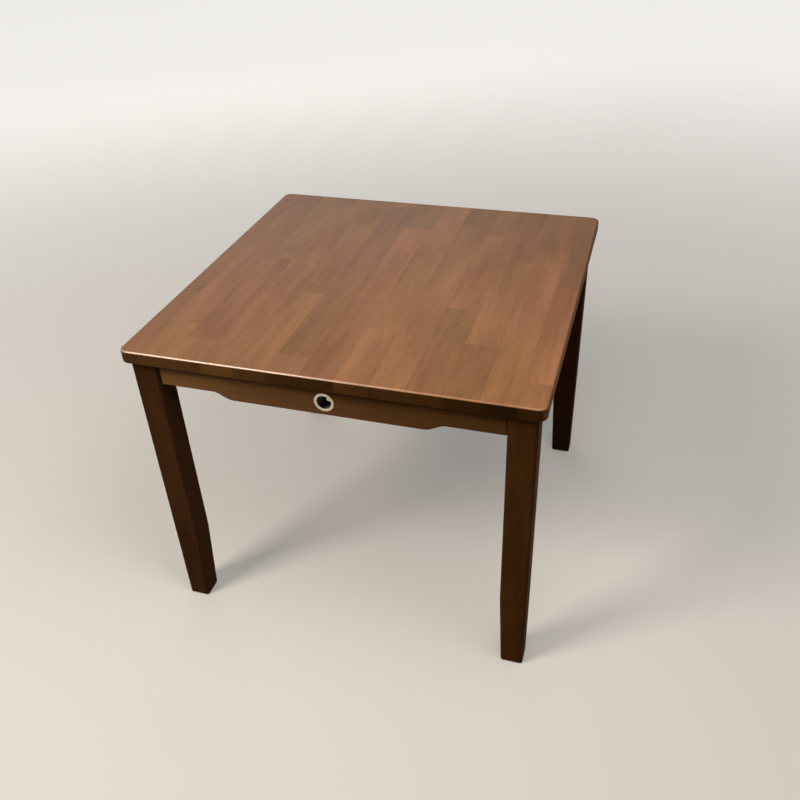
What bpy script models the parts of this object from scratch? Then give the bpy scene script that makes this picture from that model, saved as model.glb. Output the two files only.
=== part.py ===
"""Square table of stained wood: an edge-glued top on four legs that taper near the floor.

A block across each corner ties two aprons together. A hanger bolt in each leg passes through
that block, and its nut draws the leg up against the ends of the aprons. Screws through the
blocks hold the top. A metal ring with a key, and a dark sleeve behind it, line a cord hole in
the front apron.

Metres, +Z up. The origin is on the floor under the middle of the top, and the front faces -Y.
"""

import math

import bmesh
import bpy
from mathutils import Matrix, Vector

# Overall sizes
TOP_SIDE = 0.600
TABLE_HEIGHT = 0.498

# Tabletop
TOP_THICKNESS = 0.020
TOP_CORNER_RADIUS = 0.0135
TOP_EDGE_RADIUS = 0.0035
TOP_UNDER_RADIUS = 0.0020

# Legs
LEG_INSET = 0.010
LEG_WIDTH = 0.040
LEG_TAPER = 0.0055
LEG_TAPER_HEIGHT = 0.135
LEG_EDGE_RADIUS = 0.0045
LEG_FOOT_RADIUS = 0.0030
LEG_SOLE_RADIUS = 0.0008
LEG_FLAT_WIDTH = 0.0140

# Aprons
APRON_THICKNESS = 0.018
APRON_RECESS = 0.005
APRON_END_HEIGHT = 0.0388
APRON_END_LENGTH = 0.0800
APRON_CURVE_LENGTH = 0.0310
APRON_EDGE_RADIUS = 0.0020
APRON_CORNER_RADIUS = 0.0040
APRON_CORNER_BACK_RADIUS = 0.0010

# Corner blocks
BLOCK_THICKNESS = 0.020
BLOCK_HEIGHT = 0.028
BLOCK_STANDOFF = 0.010

# Hanger bolts with their washers and nuts
BOLT_DIAMETER = 0.008
BOLT_POINT = 0.006
BOLT_COVER = 0.014
BOLT_TAIL = 0.004
BOLT_TAIL_CHAMFER = 0.001
WASHER_DIAMETER = 0.018
WASHER_THICKNESS = 0.0016
NUT_ACROSS_FLATS = 0.013
NUT_HEIGHT = 0.0065

# Wood screws through the blocks, with the wood left over their points
SCREW_DIAMETER = 0.004
SCREW_POINT = 0.005
SCREW_HEAD_DIAMETER = 0.008
SCREW_HEAD_HEIGHT = 0.0025
SCREW_CROWN_SHARE = 0.6
SCREW_COVER = 0.006
APRON_SCREW_SEAT = 0.008
TOP_SCREW_SINK = 0.008
TOP_SCREW_SPACING = 0.036

# Ring and sleeve of the cord hole
RING_DIAMETER = 0.0290
RING_BORE = 0.0208
RING_WALL = 0.0020
RING_FLANGE = 0.0020
RING_EDGE = 0.0005
RING_SPIGOT = 0.0050
RING_SEAT_DEPTH = 0.0012
RING_SEAT_GAP = 0.0005
RING_TOP_MARGIN = 0.01315
RING_BOTTOM_MARGIN = 0.00725
KEY_HEIGHT = 0.0036
KEY_WIDTH = 0.0068
KEY_LENGTH = 0.0030
KEY_SETBACK = 0.0008
KEY_ANGLE = math.radians(40.0)
SLEEVE_FLANGE_DIAMETER = 0.0310
SLEEVE_FLANGE = 0.0020

# Gap left between pieces that touch
CLEARANCE = 0.0003

# Fineness of the round shapes
CORNER_STEPS = 6
EDGE_STEPS = 3
CURVE_STEPS = 8
SCREW_SIDES = 12
BOLT_SIDES = 16
RING_SIDES = 48
KEY_STEPS = 8
SMOOTH_ANGLE = math.radians(35.0)
MERGE_DISTANCE = 1e-6

# Heights and planes that the pieces share
ROOT_TWO = math.sqrt(2.0)
UNDERSIDE = TABLE_HEIGHT - TOP_THICKNESS
FRAME_TOP = UNDERSIDE - CLEARANCE
LEG_OUTER = TOP_SIDE / 2 - LEG_INSET
LEG_INNER = LEG_OUTER - LEG_WIDTH
APRON_OUTER = LEG_OUTER - APRON_RECESS
APRON_INNER = APRON_OUTER - APRON_THICKNESS
APRON_HALF_LENGTH = LEG_INNER - CLEARANCE
APRON_MIDDLE_HEIGHT = RING_TOP_MARGIN + RING_DIAMETER + RING_BOTTOM_MARGIN

# Distances from the middle of the table along the diagonal of a corner
LEG_FLAT_REACH = (2 * LEG_INNER + LEG_FLAT_WIDTH / ROOT_TWO) / ROOT_TWO
BLOCK_FRONT = LEG_FLAT_REACH - BLOCK_STANDOFF
BLOCK_BACK = BLOCK_FRONT - BLOCK_THICKNESS
BOLT_TIP = LEG_OUTER * ROOT_TWO - BOLT_COVER
WASHER_BACK = BLOCK_BACK - CLEARANCE - WASHER_THICKNESS
NUT_BACK = WASHER_BACK - CLEARANCE - NUT_HEIGHT
BOLT_END = NUT_BACK - BOLT_TAIL

# Where a block bears on an apron, and the line of the screw there
BEARING = APRON_INNER - CLEARANCE
BEARING_FRONT = BLOCK_FRONT * ROOT_TWO - BEARING
BEARING_BACK = BLOCK_BACK * ROOT_TWO - BEARING
SCREW_LINE = (BEARING_FRONT + BEARING_BACK) / 2
BLOCK_BOTTOM = FRAME_TOP - BLOCK_HEIGHT
BOLT_LEVEL = FRAME_TOP - BLOCK_HEIGHT / 2

# Screw seats and points
APRON_SCREW_HEAD = BEARING - APRON_SCREW_SEAT - CLEARANCE
APRON_SCREW_TIP = APRON_OUTER - SCREW_COVER
TOP_SCREW_HEAD = BLOCK_BOTTOM + TOP_SCREW_SINK - CLEARANCE
TOP_SCREW_TIP = TABLE_HEIGHT - SCREW_COVER

# Cord hole
RING_RADIUS = RING_DIAMETER / 2
RING_BORE_RADIUS = RING_BORE / 2
SPIGOT_RADIUS = RING_BORE_RADIUS + RING_WALL
RING_LEVEL = FRAME_TOP - RING_TOP_MARGIN - RING_RADIUS
RING_BACK = -APRON_OUTER + RING_SEAT_DEPTH - CLEARANCE

# Directions
ACROSS = Vector((1.0, 0.0, 0.0))
INTO_TABLE = Vector((0.0, 1.0, 0.0))
UP = Vector((0.0, 0.0, 1.0))
OUTWARD = Vector((1.0, 1.0, 0.0)).normalized()
ALONG_BLOCK = Vector((-1.0, 1.0, 0.0)).normalized()

# Corners and sides in order of quarter turns
CORNERS = ("back_right", "back_left", "front_left", "front_right")
SIDES = ("front", "right", "back", "left")


def clear_scene():
    """Remove every object of the scene."""
    for obj in list(bpy.data.objects):
        bpy.data.objects.remove(obj)


def finish(name, colour, roughness, metallic=0.0):
    """Principled material with one colour."""
    material = bpy.data.materials.new(name)
    material.use_nodes = True
    shader = material.node_tree.nodes["Principled BSDF"]
    shader.inputs["Base Color"].default_value = (*colour, 1.0)
    shader.inputs["Roughness"].default_value = roughness
    shader.inputs["Metallic"].default_value = metallic
    return material


def frame_empty(name, turns=0, parent=None):
    """Empty at the origin, turned by quarter turns about the vertical."""
    empty = bpy.data.objects.new(name, None)
    empty.rotation_euler.z = turns * math.pi / 2
    empty.parent = parent
    bpy.context.scene.collection.objects.link(empty)
    return empty


def piece(name, mesh, material, parent, origin=Vector(), axis=UP):
    """Object of one mesh, whose local Z lies along an axis from an origin in its parent's frame."""
    obj = bpy.data.objects.new(name, mesh)
    obj.parent = parent
    obj.location = origin
    obj.rotation_mode = "QUATERNION"
    obj.rotation_quaternion = UP.rotation_difference(axis)
    obj.data.materials.clear()
    obj.data.materials.append(material)
    bpy.context.scene.collection.objects.link(obj)
    return obj


def mesh_from(bm, name):
    """Mesh with outward faces and smooth rounds, from a bmesh that it frees."""
    bmesh.ops.recalc_face_normals(bm, faces=bm.faces)
    mesh = bpy.data.meshes.new(name)
    bm.to_mesh(mesh)
    bm.free()
    mesh.shade_smooth()
    mesh.set_sharp_from_angle(angle=SMOOTH_ANGLE)
    return mesh


def lofted(name, sections):
    """Closed solid through sections that have the same number of points."""
    bm = bmesh.new()
    rings = [[bm.verts.new(point) for point in section] for section in sections]
    for low, high in zip(rings, rings[1:]):
        for i in range(len(low)):
            j = (i + 1) % len(low)
            bm.faces.new((low[i], low[j], high[j], high[i]))
    bm.faces.new(list(reversed(rings[0])))
    bm.faces.new(rings[-1])
    return mesh_from(bm, name)


def turned(name, profile, sides):
    """Solid of revolution about Z from the closed outline of (radius, height) points."""
    bm = bmesh.new()
    points = [bm.verts.new((radius, 0.0, height)) for radius, height in profile]
    pairs = zip(points, points[1:] + points[:1])
    edges = [bm.edges.new(pair) for pair in pairs if max(pair[0].co.x, pair[1].co.x) > 0.0]
    bmesh.ops.spin(
        bm, geom=points + edges, cent=(0.0, 0.0, 0.0), axis=UP, angle=math.tau, steps=sides, use_merge=True
    )
    bmesh.ops.remove_doubles(bm, verts=bm.verts, dist=MERGE_DISTANCE)
    return mesh_from(bm, name)


def placed(mesh, origin, axis):
    """The same mesh, moved so that its local Z lies along an axis from an origin."""
    turn = UP.rotation_difference(axis).to_matrix().to_4x4()
    mesh.transform(Matrix.Translation(origin) @ turn)
    return mesh


def combined(body, tools, operation):
    """Mesh of a body after one Boolean with all the tool meshes."""
    bm = bmesh.new()
    for mesh in tools:
        bm.from_mesh(mesh)
    tool_mesh = bpy.data.meshes.new("tool")
    bm.to_mesh(tool_mesh)
    bm.free()
    blank = bpy.data.objects.new("blank", body)
    helper = bpy.data.objects.new("tool", tool_mesh)
    for obj in (blank, helper):
        bpy.context.scene.collection.objects.link(obj)
    boolean = blank.modifiers.new("boolean", "BOOLEAN")
    boolean.operation = operation
    boolean.solver = "EXACT"
    boolean.use_self = True
    boolean.object = helper
    depsgraph = bpy.context.evaluated_depsgraph_get()
    result = bpy.data.meshes.new_from_object(blank.evaluated_get(depsgraph))
    for obj in (blank, helper):
        bpy.data.objects.remove(obj)
    result.shade_smooth()
    result.set_sharp_from_angle(angle=SMOOTH_ANGLE)
    return result


def rod(radius, length):
    """Plain cylinder from the origin up Z, for cutting holes."""
    return turned("rod", [(0.0, 0.0), (radius, 0.0), (radius, length), (0.0, length)], BOLT_SIDES)


def stepped_rod(wide, wide_length, narrow, narrow_length, sides):
    """Rod with a narrow end above the origin and a wide end below it, for cutting seated holes."""
    profile = [
        (0.0, -wide_length), (wide, -wide_length), (wide, 0.0),
        (narrow, 0.0), (narrow, narrow_length), (0.0, narrow_length),
    ]
    return turned("stepped_rod", profile, sides)


def rounded_rectangle(low, high, radius, level):
    """Points round a square from low to high in X and Y, with round corners, at one level."""
    centres = (
        (high - radius, high - radius), (low + radius, high - radius),
        (low + radius, low + radius), (high - radius, low + radius),
    )
    points = []
    for quarter, (x, y) in enumerate(centres):
        for step in range(CORNER_STEPS + 1):
            angle = (quarter + step / CORNER_STEPS) * math.pi / 2
            points.append((x + radius * math.cos(angle), y + radius * math.sin(angle), level))
    return points


def round_over(radius):
    """Inset and depth of each step of a rounded edge, from the face to the side."""
    steps = []
    for step in range(EDGE_STEPS + 1):
        angle = step / EDGE_STEPS * math.pi / 2
        steps.append((radius * (1.0 - math.sin(angle)), radius * (1.0 - math.cos(angle))))
    return steps


def top_screw_places():
    """Where the two screws of a corner block go up into the top, in the corner's frame."""
    middle = OUTWARD * (BLOCK_FRONT + BLOCK_BACK) / 2
    return [middle + ALONG_BLOCK * side * TOP_SCREW_SPACING / 2 for side in (-1, 1)]


def apron_screw_places():
    """Head seat and direction of the two screws from a corner block into its aprons."""
    return [
        (Vector((SCREW_LINE, APRON_SCREW_HEAD, BOLT_LEVEL)), INTO_TABLE),
        (Vector((APRON_SCREW_HEAD, SCREW_LINE, BOLT_LEVEL)), ACROSS),
    ]


def tabletop_mesh():
    """Panel with round corners and eased edges, drilled below for the screws."""
    half = TOP_SIDE / 2
    sections = []
    for inset, depth in round_over(TOP_UNDER_RADIUS):
        level = UNDERSIDE + depth
        sections.append(rounded_rectangle(inset - half, half - inset, TOP_CORNER_RADIUS - inset, level))
    for inset, depth in reversed(round_over(TOP_EDGE_RADIUS)):
        level = TABLE_HEIGHT - depth
        sections.append(rounded_rectangle(inset - half, half - inset, TOP_CORNER_RADIUS - inset, level))
    holes = []
    for turns in range(len(CORNERS)):
        turn = Matrix.Rotation(turns * math.pi / 2, 4, "Z")
        for place in top_screw_places():
            start = turn @ place
            start.z = UNDERSIDE - CLEARANCE
            depth = TOP_SCREW_TIP + CLEARANCE - start.z
            holes.append(placed(rod(SCREW_DIAMETER / 2 + CLEARANCE, depth), start, UP))
    return combined(lofted("tabletop", sections), holes, "DIFFERENCE")


def leg_mesh():
    """Leg of the back right corner, with its tapered foot, bolt flat and bolt hole."""
    sections = []
    for inset, depth in round_over(LEG_FOOT_RADIUS):
        low = LEG_INNER + LEG_TAPER * (1.0 - depth / LEG_TAPER_HEIGHT) + inset
        radius = LEG_EDGE_RADIUS - (LEG_EDGE_RADIUS - LEG_SOLE_RADIUS) * inset / LEG_FOOT_RADIUS
        sections.append(rounded_rectangle(low, LEG_OUTER - inset, radius, depth))
    for level in (LEG_TAPER_HEIGHT, FRAME_TOP):
        sections.append(rounded_rectangle(LEG_INNER, LEG_OUTER, LEG_EDGE_RADIUS, level))
    reach = LEG_FLAT_REACH * ROOT_TWO
    start = LEG_INNER - BLOCK_STANDOFF
    corner = [(start, start), (reach - start, start), (start, reach - start)]
    levels = (FRAME_TOP - APRON_END_HEIGHT, FRAME_TOP + CLEARANCE)
    flat = lofted("flat", [[(x, y, level) for x, y in corner] for level in levels])
    hole_start = OUTWARD * BLOCK_FRONT + UP * BOLT_LEVEL
    hole = rod(BOLT_DIAMETER / 2 + CLEARANCE, BOLT_TIP + CLEARANCE - BLOCK_FRONT)
    return combined(lofted("leg", sections), [flat, placed(hole, hole_start, OUTWARD)], "DIFFERENCE")


def apron_section(inset, depth):
    """Outline of the front apron at a depth behind its face, with its lower edge and ends inset.

    The lower end corners are rounded more at the face than behind it.
    """
    half = APRON_HALF_LENGTH - inset
    y = depth - APRON_OUTER
    end = FRAME_TOP - APRON_END_HEIGHT + inset
    drop = APRON_MIDDLE_HEIGHT - APRON_END_HEIGHT
    radius = APRON_CORNER_BACK_RADIUS
    radius += (APRON_CORNER_RADIUS - APRON_CORNER_BACK_RADIUS) * inset / APRON_EDGE_RADIUS
    lower = []
    for step in range(CORNER_STEPS + 1):
        angle = step / CORNER_STEPS * math.pi / 2
        lower.append((half - radius * (1.0 - math.cos(angle)), end + radius * (1.0 - math.sin(angle))))
    for step in range(CURVE_STEPS + 1):
        share = step / CURVE_STEPS
        x = APRON_HALF_LENGTH - APRON_END_LENGTH - share * APRON_CURVE_LENGTH
        lower.append((x, end - drop * (1.0 - math.cos(share * math.pi)) / 2))
    outline = [(half, FRAME_TOP), (-half, FRAME_TOP)]
    outline += [(-x, z) for x, z in lower]
    outline += list(reversed(lower))
    return [(x, y, z) for x, z in outline]


def apron_mesh(with_cord_hole):
    """Front apron with its shaped lower edge, drilled for the screws and, if asked, the cord hole."""
    sections = [apron_section(inset, depth) for inset, depth in round_over(APRON_EDGE_RADIUS)]
    sections.append(apron_section(0.0, APRON_THICKNESS))
    tools = []
    depth = APRON_SCREW_TIP - BEARING + CLEARANCE
    for side in (-1, 1):
        start = Vector((side * SCREW_LINE, -BEARING, BOLT_LEVEL))
        tools.append(placed(rod(SCREW_DIAMETER / 2 + CLEARANCE, depth), start, -INTO_TABLE))
    if with_cord_hole:
        seat = stepped_rod(
            RING_RADIUS + RING_SEAT_GAP, APRON_THICKNESS,
            SPIGOT_RADIUS + CLEARANCE, APRON_THICKNESS, RING_SIDES,
        )
        floor = Vector((0.0, RING_SEAT_DEPTH - APRON_OUTER, RING_LEVEL))
        tools.append(placed(seat, floor, INTO_TABLE))
    return combined(lofted("apron", sections), tools, "DIFFERENCE")


def block_mesh():
    """Block of the back right corner, bored for its bolt and seated for its four screws."""
    outline = [
        (BEARING, BEARING_BACK), (BEARING, BEARING_FRONT),
        (BEARING_FRONT, BEARING), (BEARING_BACK, BEARING),
    ]
    levels = (BLOCK_BOTTOM, FRAME_TOP)
    body = lofted("block", [[(x, y, level) for x, y in outline] for level in levels])
    bore = rod(BOLT_DIAMETER / 2 + CLEARANCE, BLOCK_THICKNESS * 2)
    bore_start = OUTWARD * (BLOCK_BACK - BLOCK_THICKNESS / 2) + UP * BOLT_LEVEL
    tools = [placed(bore, bore_start, OUTWARD)]
    seats = apron_screw_places()
    seats += [(place + UP * TOP_SCREW_HEAD, UP) for place in top_screw_places()]
    for place, axis in seats:
        seat = stepped_rod(
            SCREW_HEAD_DIAMETER / 2 + CLEARANCE, BLOCK_HEIGHT,
            SCREW_DIAMETER / 2 + CLEARANCE, BLOCK_HEIGHT, BOLT_SIDES,
        )
        tools.append(placed(seat, place + axis * CLEARANCE, axis))
    return combined(body, tools, "DIFFERENCE")


def bolt_mesh():
    """Hanger bolt up Z: a machine end at the origin and a pointed wood-screw end."""
    radius = BOLT_DIAMETER / 2
    length = BOLT_TIP - BOLT_END
    profile = [
        (0.0, 0.0), (radius - BOLT_TAIL_CHAMFER, 0.0), (radius, BOLT_TAIL_CHAMFER),
        (radius, length - BOLT_POINT), (0.0, length),
    ]
    return turned("bolt", profile, BOLT_SIDES)


def washer_mesh():
    """Flat washer on the origin."""
    inner = BOLT_DIAMETER / 2 + CLEARANCE
    outer = WASHER_DIAMETER / 2
    profile = [(inner, 0.0), (outer, 0.0), (outer, WASHER_THICKNESS), (inner, WASHER_THICKNESS)]
    return turned("washer", profile, BOLT_SIDES * 2)


def nut_mesh():
    """Hexagon nut on the origin."""
    reach = NUT_ACROSS_FLATS / math.sqrt(3.0)
    corners = [(reach * math.cos(i * math.pi / 3), reach * math.sin(i * math.pi / 3)) for i in range(6)]
    body = lofted("nut", [[(x, y, level) for x, y in corners] for level in (0.0, NUT_HEIGHT)])
    bore = placed(rod(BOLT_DIAMETER / 2 + CLEARANCE, NUT_HEIGHT * 2), UP * -NUT_HEIGHT / 2, UP)
    return combined(body, [bore], "DIFFERENCE")


def screw_mesh(length):
    """Pan-head wood screw with the underside of its head on the origin and its point up Z."""
    radius = SCREW_DIAMETER / 2
    head = SCREW_HEAD_DIAMETER / 2
    profile = [
        (0.0, -SCREW_HEAD_HEIGHT), (head * SCREW_CROWN_SHARE, -SCREW_HEAD_HEIGHT),
        (head, -SCREW_HEAD_HEIGHT / 2), (head, 0.0), (radius, 0.0),
        (radius, length - SCREW_POINT), (0.0, length),
    ]
    return turned("screw", profile, SCREW_SIDES)


def ring_mesh():
    """Flanged ring facing up Z, with its flange on the origin and a key inside its bore."""
    face = RING_FLANGE
    profile = [
        (RING_BORE_RADIUS, -RING_SPIGOT), (SPIGOT_RADIUS, -RING_SPIGOT), (SPIGOT_RADIUS, 0.0),
        (RING_RADIUS, 0.0), (RING_RADIUS, face - RING_EDGE), (RING_RADIUS - RING_EDGE, face),
        (RING_BORE_RADIUS + RING_EDGE, face), (RING_BORE_RADIUS, face - RING_EDGE),
    ]
    outline = [(RING_BORE_RADIUS + RING_WALL / 2, side * KEY_WIDTH / 2) for side in (-1, 1)]
    for step in range(KEY_STEPS + 1):
        angle = (0.5 - step / KEY_STEPS) * math.pi
        x = RING_BORE_RADIUS - KEY_HEIGHT * math.cos(angle)
        outline.append((x, KEY_WIDTH / 2 * math.sin(angle)))
    levels = (face - KEY_SETBACK - KEY_LENGTH, face - KEY_SETBACK)
    key = lofted("key", [[(x, y, level) for x, y in outline] for level in levels])
    key.transform(Matrix.Rotation(KEY_ANGLE, 4, "Z"))
    return combined(turned("ring", profile, RING_SIDES), [key], "UNION")


def sleeve_mesh():
    """Sleeve behind the ring, with a flange against the back of the apron."""
    front = -RING_SPIGOT - CLEARANCE
    seat = RING_SEAT_DEPTH - CLEARANCE - APRON_THICKNESS - CLEARANCE
    back = seat - SLEEVE_FLANGE
    profile = [
        (RING_BORE_RADIUS, back), (SLEEVE_FLANGE_DIAMETER / 2, back), (SLEEVE_FLANGE_DIAMETER / 2, seat),
        (SPIGOT_RADIUS, seat), (SPIGOT_RADIUS, front), (RING_BORE_RADIUS, front),
    ]
    return turned("sleeve", profile, RING_SIDES)


def build_corner(turns, corner, table, meshes, finishes):
    """Leg, block and fasteners of one corner."""
    leg_wood, block_wood, steel = finishes
    frame = frame_empty(f"corner_{corner}", turns, table)
    piece(f"leg_{corner}", meshes["leg"], leg_wood, frame)
    piece(f"corner_block_{corner}", meshes["block"], block_wood, frame)
    level = UP * BOLT_LEVEL
    piece(f"hanger_bolt_{corner}", meshes["bolt"], steel, frame, OUTWARD * BOLT_END + level, OUTWARD)
    piece(f"washer_{corner}", meshes["washer"], steel, frame, OUTWARD * WASHER_BACK + level, OUTWARD)
    piece(f"nut_{corner}", meshes["nut"], steel, frame, OUTWARD * NUT_BACK + level, OUTWARD)
    for number, (place, axis) in enumerate(apron_screw_places(), start=1):
        piece(f"apron_screw_{corner}_{number}", meshes["apron_screw"], steel, frame, place, axis)
    for number, place in enumerate(top_screw_places(), start=1):
        seat = place + UP * TOP_SCREW_HEAD
        piece(f"top_screw_{corner}_{number}", meshes["top_screw"], steel, frame, seat)


def build_table():
    """Build every piece of the table."""
    clear_scene()
    top_wood = finish("top_wood", (0.270, 0.125, 0.062), 0.35)
    frame_wood = finish("frame_wood", (0.140, 0.062, 0.024), 0.40)
    block_wood = finish("block_wood", (0.560, 0.400, 0.230), 0.70)
    zinc_steel = finish("zinc_steel", (0.560, 0.570, 0.580), 0.35, 1.0)
    ring_metal = finish("ring_metal", (0.520, 0.450, 0.350), 0.40, 1.0)
    sleeve_plastic = finish("sleeve_plastic", (0.012, 0.012, 0.014), 0.45)

    table = frame_empty("table")
    piece("tabletop", tabletop_mesh(), top_wood, table)

    plain_apron = apron_mesh(with_cord_hole=False)
    for turns, side in enumerate(SIDES):
        mesh = apron_mesh(with_cord_hole=True) if side == "front" else plain_apron
        piece(f"apron_{side}", mesh, frame_wood, frame_empty(f"side_{side}", turns, table))

    meshes = {
        "leg": leg_mesh(),
        "block": block_mesh(),
        "bolt": bolt_mesh(),
        "washer": washer_mesh(),
        "nut": nut_mesh(),
        "apron_screw": screw_mesh(APRON_SCREW_TIP - APRON_SCREW_HEAD),
        "top_screw": screw_mesh(TOP_SCREW_TIP - TOP_SCREW_HEAD),
    }
    for turns, corner in enumerate(CORNERS):
        build_corner(turns, corner, table, meshes, (frame_wood, block_wood, zinc_steel))

    facing_front = -INTO_TABLE
    ring_place = Vector((0.0, RING_BACK, RING_LEVEL))
    piece("cord_ring", ring_mesh(), ring_metal, table, ring_place, facing_front)
    piece("cord_sleeve", sleeve_mesh(), sleeve_plastic, table, ring_place, facing_front)


build_table()
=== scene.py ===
"""Square table of stained wood, dressed piece by piece and set on a pale floor.

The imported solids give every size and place. Finer pieces with eased arrises stand for the top, the
legs, the aprons, the cord ring and its sleeve, and for the fasteners under the top. The corner blocks
keep their solids and take a sawn-wood finish.

Metres, +Z up. The origin is on the floor under the middle of the top, and the front faces -Y.
"""

import logging
import math
from collections.abc import Sequence
from dataclasses import dataclass, field
from enum import Enum
from functools import reduce

import bmesh
import bpy
from bpy.types import Material, Mesh, Node, NodeSocket, NodeTree, Object
from mathutils import Matrix, Vector

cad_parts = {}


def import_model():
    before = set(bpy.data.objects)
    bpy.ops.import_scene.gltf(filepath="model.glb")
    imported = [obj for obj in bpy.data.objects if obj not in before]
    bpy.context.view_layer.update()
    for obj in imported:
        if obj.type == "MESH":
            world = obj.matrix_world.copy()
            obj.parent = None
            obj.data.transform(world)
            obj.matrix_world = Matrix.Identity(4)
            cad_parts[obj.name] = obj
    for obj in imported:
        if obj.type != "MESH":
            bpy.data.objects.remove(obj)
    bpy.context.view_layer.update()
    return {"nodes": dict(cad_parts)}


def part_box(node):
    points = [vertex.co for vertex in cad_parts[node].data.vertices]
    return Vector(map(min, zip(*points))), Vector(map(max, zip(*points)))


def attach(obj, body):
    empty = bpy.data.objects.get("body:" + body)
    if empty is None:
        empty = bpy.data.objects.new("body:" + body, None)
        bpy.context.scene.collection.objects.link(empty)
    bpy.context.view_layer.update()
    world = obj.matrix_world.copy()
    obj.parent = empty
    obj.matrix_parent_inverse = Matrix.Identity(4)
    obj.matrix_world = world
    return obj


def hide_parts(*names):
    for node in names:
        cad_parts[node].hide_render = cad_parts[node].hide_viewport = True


LOG = logging.getLogger("square_table")
BODY = "root"

Colour = tuple[float, float, float]
Point = tuple[float, float, float]
Span = tuple[float, float]
Seat = tuple[Vector, Vector]
Value = NodeSocket | Material | Vector | float | str | tuple[float, ...]

UP = Vector((0.0, 0.0, 1.0))
OUTWARD = Vector((1.0, 1.0, 0.0)).normalized()
ALONG_BLOCK = Vector((-1.0, 1.0, 0.0)).normalized()
ROOT_TWO = math.sqrt(2.0)
WHITE = (1.0, 1.0, 1.0)
MERGE_DISTANCE = 1e-7

# Places of the factor, the two colours and the result among the sockets of a Mix node
MIX_INPUTS = (0, 6, 7)
MIX_OUTPUT = 2


class QuarterTurn(Enum):
    """Place round the table, as quarter turns about the vertical."""

    @property
    def turn(self) -> Matrix:
        """Turn from the first place to this one."""
        return Matrix.Rotation(self.value * math.pi / 2, 4, "Z")

    @property
    def label(self) -> str:
        """Word for the place in the names of pieces and solids."""
        return self.name.lower()


class Side(QuarterTurn):
    """Sides of the table, from the front."""

    FRONT = 0
    RIGHT = 1
    BACK = 2
    LEFT = 3


class Corner(QuarterTurn):
    """Corners of the table, from the back right one."""

    BACK_RIGHT = 0
    BACK_LEFT = 1
    FRONT_LEFT = 2
    FRONT_RIGHT = 3


class Grain(Enum):
    """Direction of the grain, with the axes that lie across it, along it and through the board."""

    ALONG_X = ("Y", "X", "Z")
    ALONG_Y = ("X", "Y", "Z")
    ALONG_Z = ("X", "Z", "Y")


class Boolean(Enum):
    """Ways of combining meshes, with Blender's names for them."""

    CUT = "DIFFERENCE"
    JOIN = "UNION"
    COMMON = "INTERSECT"


def shaded(colour: Colour, shade: float) -> Colour:
    """Colour at a share of its brightness."""
    return tuple(shade * channel for channel in colour)


@dataclass(frozen=True)
class Layer:
    """Layer of noise in a finish, with its cells for each metre and its octaves.

    The stretch is the share of the cells along each axis, the weight is the layer's part in a tone or a
    relief, and the roughness is the share of each finer octave.
    """

    scale: float
    detail: float
    stretch: Point = WHITE
    weight: float = 1.0
    roughness: float = 0.6


class NodeBoard:
    """Node tree being laid out, with a short call for each kind of node that the trees share."""

    def __init__(self, tree: NodeTree) -> None:
        """Take the tree that the nodes go into."""
        self.tree = tree

    def add(self, kind: str, links: dict[str | int, Value] | None = None, **settings: object) -> Node:
        """Add a node.

        Args:
            kind: Blender's name for the kind of node.
            links: Values or sockets for its inputs, by name or place.
            **settings: Properties of the node and their values.

        Returns:
            The new node.
        """
        node = self.tree.nodes.new(kind)
        for key, value in settings.items():
            setattr(node, key, value)
        for key, value in (links or {}).items():
            self.feed(node.inputs[key], value)
        return node

    def feed(self, socket: NodeSocket, value: Value) -> None:
        """Link another node's socket to an input, or set a plain value on it.

        Args:
            socket: The input.
            value: The other socket, or the value.
        """
        if isinstance(value, NodeSocket):
            self.tree.links.new(value, socket)
        else:
            socket.default_value = value

    def math(self, operation: str, *values: Value) -> NodeSocket:
        """Result of a Math node on one to three values or sockets."""
        return self.add("ShaderNodeMath", dict(enumerate(values)), operation=operation).outputs[0]

    def vector(self, operation: str, *values: Value) -> NodeSocket:
        """Result of a Vector Math node on two vectors or sockets."""
        return self.add("ShaderNodeVectorMath", dict(enumerate(values)), operation=operation).outputs[0]

    def combine(self, *values: Value) -> NodeSocket:
        """Vector from values or sockets for X, Y and Z."""
        return self.add("ShaderNodeCombineXYZ", dict(enumerate(values))).outputs[0]

    def weighted(self, *parts: tuple[NodeSocket, float], start: float = 0.0) -> NodeSocket:
        """Sum of a start and of sockets, each times its weight."""
        return reduce(lambda total, part: self.math("MULTIPLY_ADD", *part, total), parts, start)

    def blend(self, factor: Value, first: Value, second: Value, mode: str = "MIX") -> NodeSocket:
        """Mix of two colours.

        Args:
            factor: Share of the second colour.
            first: Colour or socket.
            second: Colour or socket.
            mode: Blender's name for the way of mixing.

        Returns:
            The mixed colour.
        """
        colours = [(*colour, 1.0) if isinstance(colour, tuple) else colour for colour in (first, second)]
        links = dict(zip(MIX_INPUTS, (factor, *colours)))
        return self.add("ShaderNodeMix", links, data_type="RGBA", blend_type=mode).outputs[MIX_OUTPUT]

    def tinted(self, colour: Value, tint: Value) -> NodeSocket:
        """Colour multiplied by a tint."""
        return self.blend(1.0, colour, tint, "MULTIPLY")

    def seen(self) -> NodeSocket:
        """Mask of the rays that show the background: straight, in a reflection or through a clear piece.

        Returns:
            1 for such a ray and 0 for any other.
        """
        rays = self.add("ShaderNodeLightPath").outputs
        shown = self.math("MAXIMUM", rays["Is Camera Ray"], rays["Is Glossy Ray"])
        return self.math("MAXIMUM", shown, rays["Is Transmission Ray"])


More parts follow.
